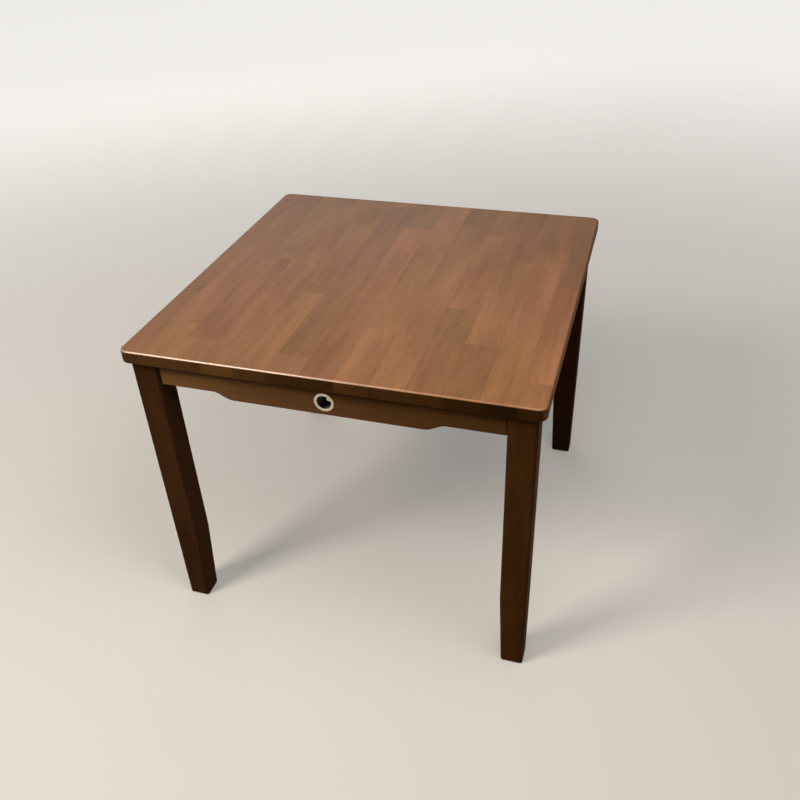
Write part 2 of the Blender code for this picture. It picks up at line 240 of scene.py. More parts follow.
class ShaderBoard(NodeBoard):
    """Node tree of one material, with its shader and its Object coordinates."""

    def __init__(self, name: str) -> None:
        """Make a material with a Principled shader.

        Args:
            name: Name of the material.
        """
        self.material = bpy.data.materials.new(name)
        self.material.use_nodes = True
        super().__init__(self.material.node_tree)
        self.shader = self.tree.nodes["Principled BSDF"]
        self.place = self.add("ShaderNodeTexCoord").outputs["Object"]

    def set(self, **values: Value) -> None:
        """Set or link sockets of the shader, with underscores for the spaces in their names."""
        for key, value in values.items():
            self.feed(self.shader.inputs[key.replace("_", " ")], value)

    def axes(self, vector: NodeSocket) -> dict[str, NodeSocket]:
        """X, Y and Z of a vector, by name."""
        return dict(self.add("ShaderNodeSeparateXYZ", {0: vector}).outputs.items())

    def distance(self, first: NodeSocket, second: NodeSocket) -> NodeSocket:
        """Length of a line with two parts at right angles."""
        squares = [self.math("POWER", part, 2.0) for part in (first, second)]
        return self.math("SQRT", self.math("ADD", *squares))

    def noise(self, layer: Layer, place: NodeSocket) -> NodeSocket:
        """Value of a layer of noise.

        Args:
            layer: The layer.
            place: Coordinates to read it at.

        Returns:
            The noise, about 0 to 1.
        """
        if layer.stretch != WHITE:
            place = self.vector("MULTIPLY", place, layer.stretch)
        links = {"Vector": place, "Scale": layer.scale, "Detail": layer.detail, "Roughness": layer.roughness}
        return self.add("ShaderNodeTexNoise", links).outputs["Fac"]

    def remap(
        self, value: NodeSocket, low: float, high: float, to_low: float = 0.0, to_high: float = 1.0
    ) -> NodeSocket:
        """Smooth step from to_low at low to to_high at high."""
        links = dict(enumerate((value, low, high, to_low, to_high)))
        return self.add("ShaderNodeMapRange", links, interpolation_type="SMOOTHSTEP").outputs[0]

    def steps(self, value: NodeSocket, levels: Sequence[float]) -> NodeSocket:
        """Level that a value picks from an even row of levels.

        Args:
            value: Place along the row, from 0 to 1.
            levels: The levels in order.

        Returns:
            The level.
        """
        node = self.add("ShaderNodeValToRGB", {0: value})
        ramp = node.color_ramp
        ramp.interpolation = "CONSTANT"
        for index, level in enumerate(levels):
            stop = ramp.elements[0] if index == 0 else ramp.elements.new(index / len(levels))
            stop.color = (level, level, level, 1.0)
        ramp.elements.remove(ramp.elements[-1])
        return node.outputs["Color"]

    def bump(self, height: NodeSocket, distance: float, strength: float) -> NodeSocket:
        """Normal bent by a height, whose full range is a distance in metres."""
        links = {"Strength": strength, "Distance": distance, "Height": height}
        return self.add("ShaderNodeBump", links).outputs["Normal"]


@dataclass(frozen=True)
class Finish:
    """Finish that a material of its own is made for."""

    name: str

    def material(self) -> Material:
        """Material in this finish.

        Returns:
            The new material.
        """
        board = ShaderBoard(self.name)
        self.lay(board)
        return board.material

    def lay(self, board: ShaderBoard) -> None:
        """Lay the finish on a board's shader."""
        raise NotImplementedError


@dataclass(frozen=True)
class LacqueredWood(Finish):
    """Stained wood under a satin lacquer, with streaks, veins, fibres and pores along its grain."""

    grain: Grain
    dark: Colour
    light: Colour
    # Tints at the left and right ends: painted light and painted shade for light falling off along the table,
    # white where none is painted
    left_stain: Colour = WHITE
    right_stain: Colour = WHITE
    stain_reach: float = 0.25
    sheen: Colour = (1.0, 0.60, 0.30)
    specular: float = 0.03
    roughness: float = 0.70
    bead_roughness: float = 0.34
    bead_ior: float = 2.4
    drift: Layer = Layer(14.0, 2.0, (1.0, 0.30, 1.0), 0.75)
    streak: Layer = Layer(80.0, 3.0, (1.0, 0.06, 1.0), 0.45)
    fleck: Layer = Layer(210.0, 2.0, (1.0, 0.12, 1.0), 0.22)
    fibre: Layer = Layer(620.0, 3.0, (1.0, 0.03, 1.0), 0.30)
    vein: Layer = Layer(150.0, 2.0, (1.0, 0.04, 1.0))
    pore: Layer = Layer(1400.0, 1.0, (1.0, 0.07, 1.0))
    tone_span: Span = (0.52, 1.20)
    vein_span: Span = (0.60, 0.78)
    pore_span: Span = (0.60, 0.74)
    deep_shade: float = 0.45
    vein_depth: float = 0.22
    pore_depth: float = 0.30
    roughness_spread: float = 0.12
    thirst_roughness: float = 0.25
    thirst_shade: float = 0.35
    fibre_height: float = 0.5
    relief: Span = (0.00010, 0.30)

    def lay(self, board: ShaderBoard) -> None:
        """Lay one board all over."""
        axes = board.axes(board.place)
        # The board is tinted with the painted light falloff along the table
        self.dress(board, board.combine(*(axes[axis] for axis in self.grain.value)), self.stain(board))

    def stain(self, board: ShaderBoard) -> NodeSocket:
        """Painted light falloff: a tint lighter at the left end of the table and darker at the right, for
        light that falls off from the left.
        """
        share = board.remap(board.axes(board.place)["X"], -self.stain_reach, self.stain_reach)
        return board.blend(share, self.left_stain, self.right_stain)

    def dress(
        self, board: ShaderBoard, place: NodeSocket, tint: NodeSocket, thirst: NodeSocket | None = None,
        bead: NodeSocket | float = 0.0,
    ) -> None:
        """Lay the wood on a board's shader.

        Args:
            board: The material.
            place: Coordinates across, along and through the grain.
            tint: Colour that the wood is multiplied by.
            thirst: Share of the lacquer that the wood has soaked up.
            bead: Weight of a thicker, glossier bead of lacquer.
        """
        fibre = board.noise(self.fibre, place)
        vein = board.remap(board.noise(self.vein, place), *self.vein_span)
        pore = board.remap(board.noise(self.pore, place), *self.pore_span)
        figure = [(fibre, self.fibre.weight)]
        for layer in (self.streak, self.drift, self.fleck):
            figure.append((board.noise(layer, place), layer.weight))
        tone = board.weighted(*figure)
        colour = board.tinted(board.blend(board.remap(tone, *self.tone_span), self.dark, self.light), tint)
        deep = shaded(self.dark, self.deep_shade)
        for mask, depth in ((vein, self.vein_depth), (pore, self.pore_depth)):
            colour = board.blend(board.math("MULTIPLY", mask, depth), colour, deep)
        spread = self.roughness_spread
        rough = board.weighted((fibre, spread), (pore, spread), start=self.roughness - spread / 2)
        sheen = (*self.sheen, 1.0)
        if thirst is not None:
            rough = board.math("MULTIPLY_ADD", thirst, self.thirst_roughness, rough)
            sheen = board.blend(thirst, self.sheen, shaded(self.light, self.thirst_shade))
        height = board.weighted((fibre, self.fibre_height), (pore, -1.0))
        board.set(
            Base_Color=colour, Roughness=rough, Normal=board.bump(height, *self.relief),
            Specular_IOR_Level=self.specular, Specular_Tint=sheen,
            Coat_Weight=bead, Coat_Roughness=self.bead_roughness, Coat_IOR=self.bead_ior,
        )


@dataclass(frozen=True)
class StavedTop(LacqueredWood):
    """Edge-glued panel: staves side by side, each of blocks that meet end to end."""

    dark: Colour = (0.191, 0.085, 0.0355)
    light: Colour = (0.331, 0.159, 0.0765)
    # Painted light and painted shade on the end faces: lighter at the left end, darker at the right
    left_stain: Colour = (1.28, 1.32, 1.30)
    right_stain: Colour = (0.42, 0.37, 0.28)
    sheen: Colour = WHITE
    specular: float = 0.10
    roughness: float = 0.38
    stave_width: float = 0.0484
    stave_start: float = -0.3170
    block_length: float = 0.265
    joint_places: tuple[float, ...] = (
        0.150, 0.060, 0.024, 0.013, 0.186, 0.012, 0.189, 0.105, -0.042, 0.187, 0.093, 0.108, 0.020, 0.200,
    )
    seed: float = 337276.0
    block_lean: float = 0.10
    block_shift: Point = (7.0, 5.0, 3.0)
    block_tones: tuple[Colour, Colour] = ((0.85, 0.85, 0.86), (1.11, 1.11, 1.10))
    block_hues: tuple[Colour, Colour] = ((1.03, 0.970, 1.000), (0.98, 1.015, 0.90))
    line_width: float = 0.0004
    line_tint: Colour = (0.30, 0.26, 0.24)
    stave_line: float = 0.40
    block_line: float = 0.28
    edge_span: Span = (0.92, 0.60)
    edge_tint: Colour = (0.56, 0.54, 0.45)
    end_span: Span = (0.60, 0.95)
    end_tones: tuple[Colour, Colour] = ((0.36, 0.35, 0.29), (1.00, 1.01, 0.88))
    arris_ends: Span = (0.10, 0.45)
    arris_levels: tuple[Span, Span] = ((0.995, 0.90), (0.25, 0.60))
    # Tint of the front and back arrises: partly rubbed-through stain, partly a painted highlight along the
    # edge
    rubbed: Colour = (1.45, 1.55, 1.65)
    bead_end: Span = (-0.10, 0.24)
    bead_least: float = 0.10

    def lay(self, board: ShaderBoard) -> None:
        """Lay the whole panel, with a tone and a grain of its own for each block.

        Args:
            board: The material.
        """
        axes = board.axes(board.place)
        across = board.math("DIVIDE", board.math("SUBTRACT", axes["X"], self.stave_start), self.stave_width)
        stave = board.math("FLOOR", across)
        row = board.math("DIVIDE", board.math("ADD", stave, 0.5), float(len(self.joint_places)))
        shifts = [place % self.block_length / self.block_length for place in self.joint_places]
        along = board.math("DIVIDE", axes["Y"], self.block_length)
        along = board.math("SUBTRACT", along, board.steps(row, shifts))
        block = {"Vector": board.combine(stave, board.math("FLOOR", along), self.seed)}
        chance = board.add("ShaderNodeTexWhiteNoise", block, noise_dimensions="3D").outputs["Color"]
        chances = board.axes(chance)

        lean = board.math("MULTIPLY", board.math("SUBTRACT", chances["X"], 0.5), self.block_lean)
        slanted = board.math("MULTIPLY_ADD", axes["Y"], lean, axes["X"])
        place = board.combine(slanted, axes["Y"], axes["Z"])
        place = board.vector("ADD", place, board.vector("MULTIPLY", chance, self.block_shift))

        tint = board.blend(chances["Y"], *self.block_tones)
        tint = board.tinted(tint, board.blend(chances["Z"], *self.block_hues))
        line = board.math(
            "MAXIMUM",
            self.glue_line(board, across, self.stave_width, self.stave_line),
            self.glue_line(board, along, self.block_length, self.block_line),
        )
        tint = board.blend(line, tint, self.line_tint)

        normal = board.axes(board.add("ShaderNodeNewGeometry").outputs["Normal"])
        facing_ends = board.math("ABSOLUTE", normal["Y"])
        edge = board.remap(board.math("ABSOLUTE", normal["Z"]), *self.edge_span)
        arris = board.remap(facing_ends, *self.arris_ends)
        for levels in self.arris_levels:
            arris = board.math("MULTIPLY", arris, board.remap(normal["Z"], *levels))
        tint = board.blend(edge, tint, board.tinted(tint, self.edge_tint))
        # End faces take end-grain tones times the painted light falloff from left to right
        ends = board.tinted(board.blend(chances["X"], *self.end_tones), self.stain(board))
        tint = board.blend(board.remap(facing_ends, *self.end_span), tint, board.tinted(tint, ends))
        # Lighter front and back arrises: partly rubbed-through stain, partly painted highlight
        tint = board.blend(arris, tint, self.rubbed)
        bead = board.math("MULTIPLY", arris, board.remap(axes["X"], *self.bead_end, 1.0, self.bead_least))
        self.dress(board, place, tint, edge, bead)

    def glue_line(self, board: ShaderBoard, cells: NodeSocket, pitch: float, depth: float) -> NodeSocket:
        """Mask of the glue lines between cells.

        Args:
            board: The material.
            cells: Count of cells up to each place.
            pitch: Width of a cell.
            depth: Strength of the lines, from 0 to 1.

        Returns:
            The mask.
        """
        part = board.math("FRACT", cells)
        edge = board.math("MINIMUM", part, board.math("SUBTRACT", 1.0, part))
        return board.remap(board.math("MULTIPLY", edge, pitch), self.line_width, 0.0, 0.0, depth)


@dataclass(frozen=True)
class SawnWood(Finish):
    """Bare sawn wood with saw lines across it and a coarse end grain."""

    dark: Colour = (0.420, 0.280, 0.150)
    light: Colour = (0.640, 0.480, 0.290)
    streak: Layer = Layer(240.0, 4.0, (1.0, 0.10, 1.0), 0.5)
    streak_span: Span = (0.30, 0.70)
    saw: Layer = Layer(700.0, 2.0, (0.15, 1.0, 0.15), 1.0, 0.5)
    saw_span: Span = (0.35, 0.75)
    saw_depth: float = 0.25
    roughness: float = 0.72
    relief: Span = (0.0003, 0.5)

    def lay(self, board: ShaderBoard) -> None:
        """Lay a corner block's wood, with its grain along the block.

        Args:
            board: The material.
        """
        axes = board.axes(board.place)
        across, along = (board.math(kind, axes["X"], axes["Y"]) for kind in ("ADD", "SUBTRACT"))
        place = board.combine(across, along, axes["Z"])
        streak, saw = (board.noise(layer, place) for layer in (self.streak, self.saw))
        colour = board.blend(board.remap(streak, *self.streak_span), self.dark, self.light)
        colour = board.blend(board.remap(saw, *self.saw_span, 0.0, self.saw_depth), colour, self.dark)
        height = board.weighted((streak, self.streak.weight), (saw, self.saw.weight))
        board.set(Base_Color=colour, Roughness=self.roughness, Normal=board.bump(height, *self.relief))


@dataclass(frozen=True)
class Mottled(Finish):
    """Surface whose tone and roughness drift in clouds, over a fine grit."""

    dark: Colour
    light: Colour
    cloud: Layer
    cloud_span: Span
    grit: Layer
    relief: Span
    roughness: float
    roughness_spread: float
    metallic: float = 0.0
    specular: float = 0.5

    def lay(self, board: ShaderBoard) -> None:
        """Lay the surface all over.

        Args:
            board: The material.
        """
        cloud, grit = (board.noise(layer, board.place) for layer in (self.cloud, self.grit))
        board.set(
            Base_Color=board.blend(board.remap(cloud, *self.cloud_span), self.dark, self.light),
            Roughness=board.weighted((cloud, self.roughness_spread), start=self.roughness),
            Metallic=self.metallic, Specular_IOR_Level=self.specular, Normal=board.bump(grit, *self.relief),
        )


@dataclass(frozen=True)
class PlatedSteel(Mottled):
    """Zinc-plated steel with a cloudy plating and fine scratches."""

    dark: Colour = (0.430, 0.440, 0.450)
    light: Colour = (0.640, 0.650, 0.650)
    cloud: Layer = Layer(420.0, 4.0)
    cloud_span: Span = (0.35, 0.65)
    grit: Layer = Layer(5200.0, 2.0, (1.0, 1.0, 0.12), roughness=0.5)
    relief: Span = (0.00003, 0.4)
    roughness: float = 0.18
    roughness_spread: float = 0.30
    metallic: float = 1.0


@dataclass(frozen=True)
class MouldedPlastic(Mottled):
    """Black plastic with scuffs and a fine moulded texture."""

    dark: Colour = (0.006, 0.006, 0.007)
    light: Colour = (0.022, 0.021, 0.021)
    cloud: Layer = Layer(140.0, 3.0)
    cloud_span: Span = (0.45, 0.75)
    grit: Layer = Layer(2600.0, 3.0)
    relief: Span = (0.00005, 0.5)
    roughness: float = 0.38
    roughness_spread: float = 0.20
    specular: float = 0.2


@dataclass(frozen=True)
class TurnedRing(Finish):
    """Satin metal with fine turning lines about the hole's axis, with painted shade down the bore and a
    painted lit patch low on its right side.

    The level is the height of the axis and the face is the Y of the ring's front.
    """

    level: float
    face: float
    dull: Colour = (0.500, 0.430, 0.325)
    bright: Colour = (0.660, 0.575, 0.445)
    cloud: Layer = Layer(260.0, 3.0)
    cloud_span: Span = (0.3, 0.7)
    line: Layer = Layer(4200.0, 3.0, roughness=0.7)
    line_drift: float = 0.3
    # Painted shade down the bore from a small depth behind the face; a patch towards the lower right is left
    # unshaded for the lit wall there
    stained: Colour = (0.020, 0.018, 0.016)
    stain_span: Span = (0.0012, 0.0020)
    stain_depth: float = 0.95
    rubbed_towards: Span = (0.58, -0.81)
    rubbed_span: Span = (0.70, 0.95)
    roughness: float = 0.40
    roughness_spread: float = 0.16
    relief: Span = (0.00004, 0.5)

    def lay(self, board: ShaderBoard) -> None:
        """Lay the metal of the ring.

        Args:
            board: The material.
        """
        axes = board.axes(board.vector("SUBTRACT", board.place, (0.0, self.face, self.level)))
        radius = board.distance(axes["X"], axes["Z"])
        drift = board.math("MULTIPLY", axes["Y"], self.line_drift)
        line = board.noise(self.line, board.combine(radius, 0.0, drift))
        cloud = board.noise(self.cloud, board.place)
        colour = board.blend(board.remap(cloud, *self.cloud_span), self.dull, self.bright)
        # Painted shade darkens the bore, except a patch towards the lower right left bright for the lit wall
        right, up = self.rubbed_towards
        lean = board.math("DIVIDE", board.weighted((axes["Z"], up), (axes["X"], right)), radius)
        outside_lit_patch = board.math("SUBTRACT", 1.0, board.remap(lean, *self.rubbed_span))
        stain = board.remap(axes["Y"], *self.stain_span, 0.0, self.stain_depth)
        colour = board.blend(board.math("MULTIPLY", stain, outside_lit_patch), colour, self.stained)
        rough = board.weighted((line, self.roughness_spread), start=self.roughness)
        board.set(Base_Color=colour, Metallic=1.0, Roughness=rough, Normal=board.bump(line, *self.relief))


@dataclass(frozen=True)
class PaleFloor(Finish):
    """Pale matt floor that throws back little light and fades to a paler background."""

    seen: Colour = (0.800, 0.785, 0.760)
    thrown: Colour = (0.200, 0.175, 0.145)
    near_glow: float = 0.20
    far_glow: float = 0.92
    glow_span: Span = (0.2, 4.2)
    roughness: float = 0.85

    def far_tone(self, sky: float) -> Colour:
        """Colour of the floor far away under a sky of some strength."""
        return shaded(self.seen, self.far_glow + sky)

    def lay(self, board: ShaderBoard) -> None:
        """Lay the floor, which glows only where it is seen.

        Args:
            board: The material.
        """
        axes = board.axes(board.place)
        away = board.distance(axes["X"], axes["Y"])
        seen = board.seen()
        glow = board.remap(away, *self.glow_span, self.near_glow, self.far_glow)
        board.set(
            Base_Color=board.blend(seen, self.thrown, self.seen), Roughness=self.roughness,
            Specular_IOR_Level=0.0,
            Emission_Color=(*self.seen, 1.0), Emission_Strength=board.math("MULTIPLY", glow, seen),
        )


def rounded_square(low: float, high: float, radius: float, level: float, steps: int) -> list[Point]:
    """Points round a square with round corners.

    Args:
        low: Lower limit in X and Y.
        high: Upper limit in X and Y.
        radius: Radius of the corners.
        level: Height of the points.
        steps: Straight pieces in each corner.

    Returns:
        The points, counter-clockwise.
    """
    near, far = low + radius, high - radius
    points = []
    for quarter, (x, y) in enumerate(((far, far), (near, far), (near, near), (far, near))):
        for step in range(steps + 1):
            angle = (quarter + step / steps) * math.pi / 2
            points.append((x + radius * math.cos(angle), y + radius * math.sin(angle), level))
    return points


def eased(radius: float, steps: int) -> list[Span]:
    """Inset and depth of each step of a rounded arris, from the face to the side."""
    angles = [step / steps * math.pi / 2 for step in range(steps + 1)]
    return [(radius * (1.0 - math.sin(angle)), radius * (1.0 - math.cos(angle))) for angle in angles]


def mesh_of(bm: bmesh.types.BMesh, name: str) -> Mesh:
    """Mesh with outward faces from a bmesh, which it frees.

    Args:
        bm: The bmesh.
        name: Name of the mesh.

    Returns:
        The mesh.
    """
    bmesh.ops.recalc_face_normals(bm, faces=bm.faces)
    mesh = bpy.data.meshes.new(name)
    bm.to_mesh(mesh)
    bm.free()
    return mesh


def lofted(sections: Sequence[Sequence[Point]]) -> Mesh:
    """Closed solid through sections.

    Args:
        sections: Sections in order, with the same number of points in each.

    Returns:
        The mesh.
    """
    bm = bmesh.new()
    rings = [[bm.verts.new(point) for point in section] for section in sections]
    for low, high in zip(rings, rings[1:]):
        for i in range(len(low)):
            j = (i + 1) % len(low)
            bm.faces.new((low[i], low[j], high[j], high[i]))
    bm.faces.new(list(reversed(rings[0])))
    bm.faces.new(rings[-1])
    return mesh_of(bm, "lofted")


def turned(profile: Sequence[Span], sides: int) -> Mesh:
    """Solid of revolution about Z.

    Args:
        profile: Closed outline of (radius, height) points.
        sides: Sides of the round.

    Returns:
        The mesh.
    """
    bm = bmesh.new()
    points = [bm.verts.new((radius, 0.0, height)) for radius, height in profile]
    pairs = zip(points, points[1:] + points[:1])
    edges = [bm.edges.new(pair) for pair in pairs if max(pair[0].co.x, pair[1].co.x) > 0.0]
    middle = (0.0, 0.0, 0.0)
    bmesh.ops.spin(
        bm, geom=points + edges, cent=middle, axis=UP, angle=math.tau, steps=sides, use_merge=True
    )
    bmesh.ops.remove_doubles(bm, verts=bm.verts, dist=MERGE_DISTANCE)
    return mesh_of(bm, "turned")


def placed(mesh: Mesh, origin: Vector, axis: Vector) -> Mesh:
    """The same mesh, moved so that its Z lies along an axis from an origin."""
    mesh.transform(Matrix.Translation(origin) @ UP.rotation_difference(axis).to_matrix().to_4x4())
    return mesh


def rod(radius: float, length: float, sides: int = 24) -> Mesh:
    """Plain cylinder from the origin up Z."""
    return turned([(0.0, 0.0), (radius, 0.0), (radius, length), (0.0, length)], sides)


def evaluated(obj: Object) -> Mesh:
    """Plain mesh of an object with its modifiers applied."""
    depsgraph = bpy.context.evaluated_depsgraph_get()
    return bpy.data.meshes.new_from_object(obj.evaluated_get(depsgraph), depsgraph=depsgraph)


def linked(name: str, content: bpy.types.ID) -> Object:
    """New object for a mesh, a lamp or a camera, in the scene.

    Args:
        name: Name of the object.
        content: What it shows.

    Returns:
        The object.
    """
    obj = bpy.data.objects.new(name, content)
    bpy.context.scene.collection.objects.link(obj)
    return obj


def combined(body: Mesh, tools: Sequence[Mesh], boolean: Boolean) -> Mesh:
    """Body after one Boolean with all the tools.

    Args:
        body: Closed mesh.
        tools: Closed meshes.
        boolean: Way of combining them.

    Returns:
        The new mesh.
    """
    bm = bmesh.new()
    for tool in tools:
        bm.from_mesh(tool)
    blank, helper = linked("blank", body), linked("tools", mesh_of(bm, "tools"))
    modifier = blank.modifiers.new("boolean", "BOOLEAN")
    modifier.operation = boolean.value
    modifier.solver = "EXACT"
    modifier.use_self = True
    modifier.object = helper
    result = evaluated(blank)
    for obj in (blank, helper):
        bpy.data.objects.remove(obj)
    return result


def smoothed(mesh: Mesh, angle: float = 32.0) -> Mesh:
    """Mesh with smooth rounds whose flat faces stay flat.

    Args:
        mesh: Closed mesh.
        angle: Angle in degrees from which an edge stays sharp.

    Returns:
        The new mesh.
    """
    mesh.shade_smooth()
    mesh.set_sharp_from_angle(angle=math.radians(angle))
    obj = linked("smoothed", mesh)
    obj.modifiers.new("flat_faces", "WEIGHTED_NORMAL").keep_sharp = True
    result = evaluated(obj)
    bpy.data.objects.remove(obj)
    return result


def add_piece(name: str, mesh: Mesh, material: Material, nodes: Sequence[str]) -> None:
    """Add a finished piece that stands for solids of the frame.

    Args:
        name: Name of the piece.
        mesh: Its mesh, in place.
        material: Its finish.
        nodes: Solids that it stands for.
    """
    mesh.name = name
    mesh.materials.clear()
    mesh.materials.append(material)
    obj = linked(name, mesh)
    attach(obj, BODY)
    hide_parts(*nodes)
    LOG.info("%s: %d faces for %s", name, len(mesh.polygons), ", ".join(nodes))


@dataclass(frozen=True)
class Sizes:
    """Sizes that the sub-assemblies share, the same as those of the solids."""

    side: float = 0.600
    height: float = 0.498
    top_thickness: float = 0.020
    leg_inset: float = 0.010
    leg_width: float = 0.040
    flat_width: float = 0.014
    apron_thickness: float = 0.018
    apron_recess: float = 0.005
    apron_end_height: float = 0.0388
    block_thickness: float = 0.020
    block_height: float = 0.028
    block_standoff: float = 0.010
    bolt_radius: float = 0.004
    bolt_cover: float = 0.014
    screw_radius: float = 0.002
    screw_cover: float = 0.006
    screw_spacing: float = 0.036
    gap: float = 0.0003

    @property
    def underside(self) -> float:
        """Height of the underside of the top."""
        return self.height - self.top_thickness

    @property
    def frame_top(self) -> float:
        """Height of the upper faces of the legs, aprons and blocks."""
        return self.underside - self.gap

    @property
    def leg_outer(self) -> float:
        """Distance of a leg's outer faces from the middle."""
        return self.side / 2 - self.leg_inset

    @property
    def leg_inner(self) -> float:
        """Distance of a leg's inner faces from the middle."""
        return self.leg_outer - self.leg_width

    @property
    def apron_outer(self) -> float:
        """Distance of an apron's face from the middle."""
        return self.leg_outer - self.apron_recess

    @property
    def bearing(self) -> float:
        """Distance of the block's bearing faces from the middle."""
        return self.apron_outer - self.apron_thickness - self.gap

    @property
    def flat_reach(self) -> float:
        """Distance of a leg's bolt flat from the middle, along the diagonal."""
        return (2 * self.leg_inner + self.flat_width / ROOT_TWO) / ROOT_TWO

    @property
    def block_front(self) -> float:
        """Distance of a block's outer face from the middle, along the diagonal."""
        return self.flat_reach - self.block_standoff

    @property
    def block_back(self) -> float:
        """Distance of a block's inner face from the middle, along the diagonal."""
        return self.block_front - self.block_thickness

    @property
    def bolt_level(self) -> float:
        """Height of the bolts and of the screws into the aprons."""
        return self.frame_top - self.block_height / 2

    @property
    def bolt_tip(self) -> float:
        """Distance of a bolt's point from the middle, along the diagonal."""
        return self.leg_outer * ROOT_TWO - self.bolt_cover

    @property
    def screw_line(self) -> float:
        """Distance from the middle to the screws into the aprons, along the apron."""
        return (self.block_front + self.block_back) * ROOT_TWO / 2 - self.bearing

    @property
    def screw_hole(self) -> float:
        """Radius of the holes for the screws."""
        return self.screw_radius + self.gap

    @property
    def bolt_hole(self) -> float:
        """Radius of the holes for the bolts."""
        return self.bolt_radius + self.gap

    def top_screw_places(self) -> list[Vector]:
        """Where the two screws of the back right block go up into the top, at height zero."""
        middle = OUTWARD * (self.block_front + self.block_back) / 2
        return [middle + ALONG_BLOCK * side * self.screw_spacing / 2 for side in (-1, 1)]


@dataclass
class Tabletop:
    """Edge-glued panel with round corners and eased arrises."""

    sizes: Sizes
    finish: StavedTop
    corner_radius: float = 0.0135
    edge_radius: float = 0.0035
    under_radius: float = 0.0020
    corner_steps: int = 16
    edge_steps: int = 8

    def mesh(self) -> Mesh:
        """Panel drilled from below for the screws.

        Returns:
            The mesh.
        """
        sizes, half = self.sizes, self.sizes.side / 2
        under, upper = (eased(radius, self.edge_steps) for radius in (self.under_radius, self.edge_radius))
        rows = [(inset, sizes.underside + depth) for inset, depth in under]
        rows += [(inset, sizes.height - depth) for inset, depth in reversed(upper)]
        sections = [
            rounded_square(inset - half, half - inset, self.corner_radius - inset, level, self.corner_steps)
            for inset, level in rows
        ]
        depth = sizes.height - sizes.screw_cover - sizes.frame_top + sizes.gap
        holes = []
        for corner in Corner:
            for place in sizes.top_screw_places():
                start = corner.turn @ (place + UP * sizes.frame_top)
                holes.append(placed(rod(sizes.screw_hole, depth), start, UP))
        return smoothed(combined(lofted(sections), holes, Boolean.CUT))

    def build(self) -> None:
        """Add the panel."""
        add_piece("top_panel", self.mesh(), self.finish.material(), ["tabletop"])


@dataclass
class Legs:
    """Square legs whose inner faces taper in towards the floor."""

    sizes: Sizes
    finishes: dict[Corner, LacqueredWood]
    taper: float = 0.0055
    taper_height: float = 0.135
    edge_radius: float = 0.0045
    foot_radius: float = 0.0030
    sole_radius: float = 0.0008
    edge_steps: int = 8

    def mesh(self) -> Mesh:
        """Leg of the back right corner, with its bolt flat and bolt hole.

        Returns:
            The mesh.
        """
        sizes, inner, outer = self.sizes, self.sizes.leg_inner, self.sizes.leg_outer
        sections = []
        for inset, depth in eased(self.foot_radius, self.edge_steps):
            low = inner + self.taper * (1.0 - depth / self.taper_height) + inset
            radius = self.edge_radius - (self.edge_radius - self.sole_radius) * inset / self.foot_radius
            sections.append(rounded_square(low, outer - inset, radius, depth, self.edge_steps))
        for level in (self.taper_height, sizes.frame_top):
            sections.append(rounded_square(inner, outer, self.edge_radius, level, self.edge_steps))
        start = inner - sizes.block_standoff
        end = sizes.flat_reach * ROOT_TWO - start
        levels = (sizes.frame_top - sizes.apron_end_height, sizes.frame_top + sizes.gap)
        corner = ((start, start), (end, start), (start, end))
        flat = lofted([[(x, y, level) for x, y in corner] for level in levels])
        hole = rod(sizes.bolt_hole, sizes.bolt_tip + sizes.gap - sizes.block_front)
        hole = placed(hole, OUTWARD * sizes.block_front + UP * sizes.bolt_level, OUTWARD)
        return combined(lofted(sections), [flat, hole], Boolean.CUT)

    def build(self) -> None:
        """Add the four legs."""
        pattern = self.mesh()
        for corner, finish in self.finishes.items():
            mesh = pattern.copy()
            mesh.transform(corner.turn)
            name = f"{corner.label}_leg"
            add_piece(name, smoothed(mesh), finish.material(), [f"leg_{corner.label}"])


